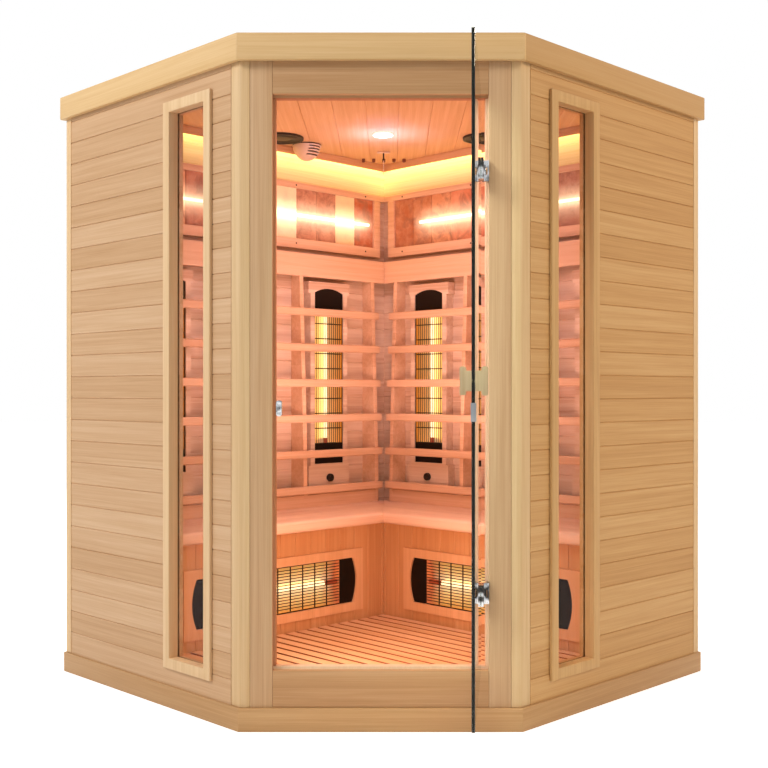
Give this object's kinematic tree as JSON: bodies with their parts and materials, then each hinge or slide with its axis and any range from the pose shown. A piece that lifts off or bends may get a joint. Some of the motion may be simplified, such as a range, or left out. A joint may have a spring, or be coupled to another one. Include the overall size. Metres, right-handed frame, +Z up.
{
  "type": "infrared sauna cabin",
  "caption": "Corner infrared sauna cabin of planked wood with a swinging glass door, tall side windows, an L-shaped bench, wire-guarded heaters, backrests and a salt wall.",
  "frame": {"origin": "on the ground under the middle of the cabin's square plan, on the underside of the middle runner", "axes": "+Z up, -Y out through the doorway, +X to the hinge side of the door"},
  "size_m": [2.1382, 2.305, 1.9363],
  "materials": {
    "hemlock": "sanded, unsealed",
    "pale_hemlock": "sanded, unsealed",
    "clear_glass": "polished, toughened",
    "chrome": "polished",
    "black_steel": "matt stove enamel",
    "salt_stone": "sawn, translucent",
    "black_plastic": "fine grain",
    "beige_plastic": "satin",
    "white_lamp": "frosted",
    "grey_steel": "brushed"
  },
  "bodies": {
    "cabin": {"base": "pale_hemlock", "duckboard": "hemlock", "wall_back_left": "hemlock", "wall_side_left": "hemlock", "window_frame_left": "pale_hemlock", "window_pane_left": "clear_glass", "corner_post_left": "pale_hemlock", "front_stile_left": "pale_hemlock", "bench_top_left": "hemlock", "bench_front_left": "hemlock", "backrest_left": "hemlock", "salt_tiles_left": "salt_stone", "salt_frame_left": "hemlock", "crown_left": "hemlock", "heater_bench_left": "black_steel", "speaker_left": "black_plastic", "heater_back_left_1": "black_steel", "heater_back_left_2": "black_steel", "heater_back_left_3": "black_steel", "wall_back_right": "hemlock", "wall_side_right": "hemlock", "window_frame_right": "pale_hemlock", "window_pane_right": "clear_glass", "corner_post_right": "pale_hemlock", "front_stile_right": "pale_hemlock", "bench_top_right": "hemlock", "bench_front_right": "hemlock", "backrest_right": "hemlock", "salt_tiles_right": "salt_stone", "salt_frame_right": "hemlock", "crown_right": "hemlock", "heater_bench_right": "black_steel", "speaker_right": "black_plastic", "heater_back_right_1": "black_steel", "heater_back_right_2": "black_steel", "heater_back_right_3": "black_steel", "front_head_rail": "pale_hemlock", "front_bottom_rail": "pale_hemlock", "roof_panel": "hemlock", "cornice": "pale_hemlock", "control_box": "grey_steel", "hinge_plate_upper": "chrome", "hinge_plate_lower": "chrome", "jamb_catch": "chrome", "downlight": "white_lamp", "ioniser": "beige_plastic", "temperature_sensor": "grey_steel"},
    "door": {"door_glass": "clear_glass", "hinge_clamp_upper": "chrome", "hinge_clamp_lower": "chrome", "handle_outer": "pale_hemlock", "handle_inner": "pale_hemlock", "strike_clip": "grey_steel"},
    "dimmer_knob_left_1": {"dimmer_knob_left_1": "black_plastic"},
    "dimmer_knob_left_2": {"dimmer_knob_left_2": "black_plastic"},
    "dimmer_knob_left_3": {"dimmer_knob_left_3": "black_plastic"},
    "dimmer_knob_right_1": {"dimmer_knob_right_1": "black_plastic"},
    "dimmer_knob_right_2": {"dimmer_knob_right_2": "black_plastic"},
    "dimmer_knob_right_3": {"dimmer_knob_right_3": "black_plastic"}
  },
  "joints": [
    {"name": "door_hinge", "type": "hinge", "parent": "cabin", "child": "door", "pos_m": [0.2821, -0.664, 0.95], "axis": [0, 0, 1], "range_deg": [-84, 26]},
    {"name": "dimmer_knob_left_1_turn", "type": "hinge", "parent": "cabin", "child": "dimmer_knob_left_1", "pos_m": [-0.2098, 0.70902, 0.587], "axis": [0.7071, -0.7071, 0], "range_deg": [-135, 135]},
    {"name": "dimmer_knob_left_2_turn", "type": "hinge", "parent": "cabin", "child": "dimmer_knob_left_2", "pos_m": [-0.47567, 0.44314, 0.587], "axis": [0.7071, -0.7071, 0], "range_deg": [-135, 135]},
    {"name": "dimmer_knob_left_3_turn", "type": "hinge", "parent": "cabin", "child": "dimmer_knob_left_3", "pos_m": [-0.74154, 0.17727, 0.587], "axis": [0.7071, -0.7071, 0], "range_deg": [-135, 135]},
    {"name": "dimmer_knob_right_1_turn", "type": "hinge", "parent": "cabin", "child": "dimmer_knob_right_1", "pos_m": [0.17232, 0.74649, 0.587], "axis": [-0.7071, -0.7071, 0], "range_deg": [-135, 135]},
    {"name": "dimmer_knob_right_2_turn", "type": "hinge", "parent": "cabin", "child": "dimmer_knob_right_2", "pos_m": [0.45693, 0.46188, 0.587], "axis": [-0.7071, -0.7071, 0], "range_deg": [-135, 135]},
    {"name": "dimmer_knob_right_3_turn", "type": "hinge", "parent": "cabin", "child": "dimmer_knob_right_3", "pos_m": [0.74154, 0.17727, 0.587], "axis": [-0.7071, -0.7071, 0], "range_deg": [-135, 135]}
  ]
}
